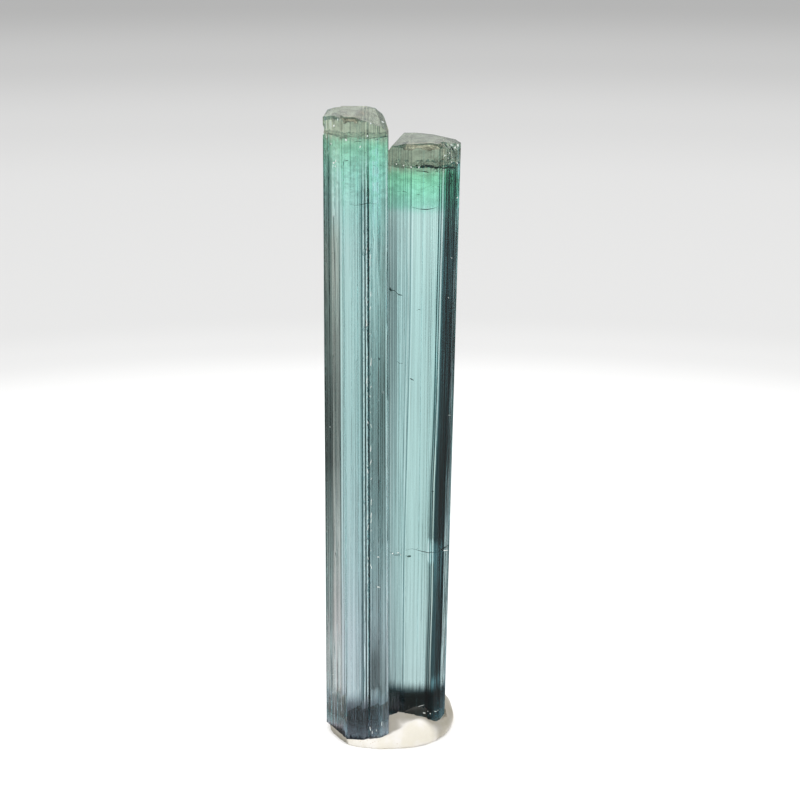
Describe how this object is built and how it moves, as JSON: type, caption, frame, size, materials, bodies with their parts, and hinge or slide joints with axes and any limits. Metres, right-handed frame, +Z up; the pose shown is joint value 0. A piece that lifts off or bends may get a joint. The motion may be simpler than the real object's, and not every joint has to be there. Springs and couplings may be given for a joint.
{
  "type": "tourmaline crystal specimen",
  "caption": "Slim striated blue-green prismatic crystals grown side by side, standing upright in a pressed lump of white mounting putty, as a collector shows them.",
  "frame": {"origin": "on the putty's flat underside, near its middle, at the surface that the specimen stands on", "axes": "+Z up along the crystals, -Y out of the front that the picture shows, +X to the right of the picture"},
  "size_m": [0.0118, 0.0099, 0.0566],
  "materials": {
    "crystal": "clear blue-green tourmaline, striated prism faces, colourless tips and dark feet",
    "putty": "matt off-white mounting putty, pressed by hand"
  },
  "bodies": {
    "root": {"crystal_pair": "crystal", "putty_base": "putty"}
  },
  "joints": []
}
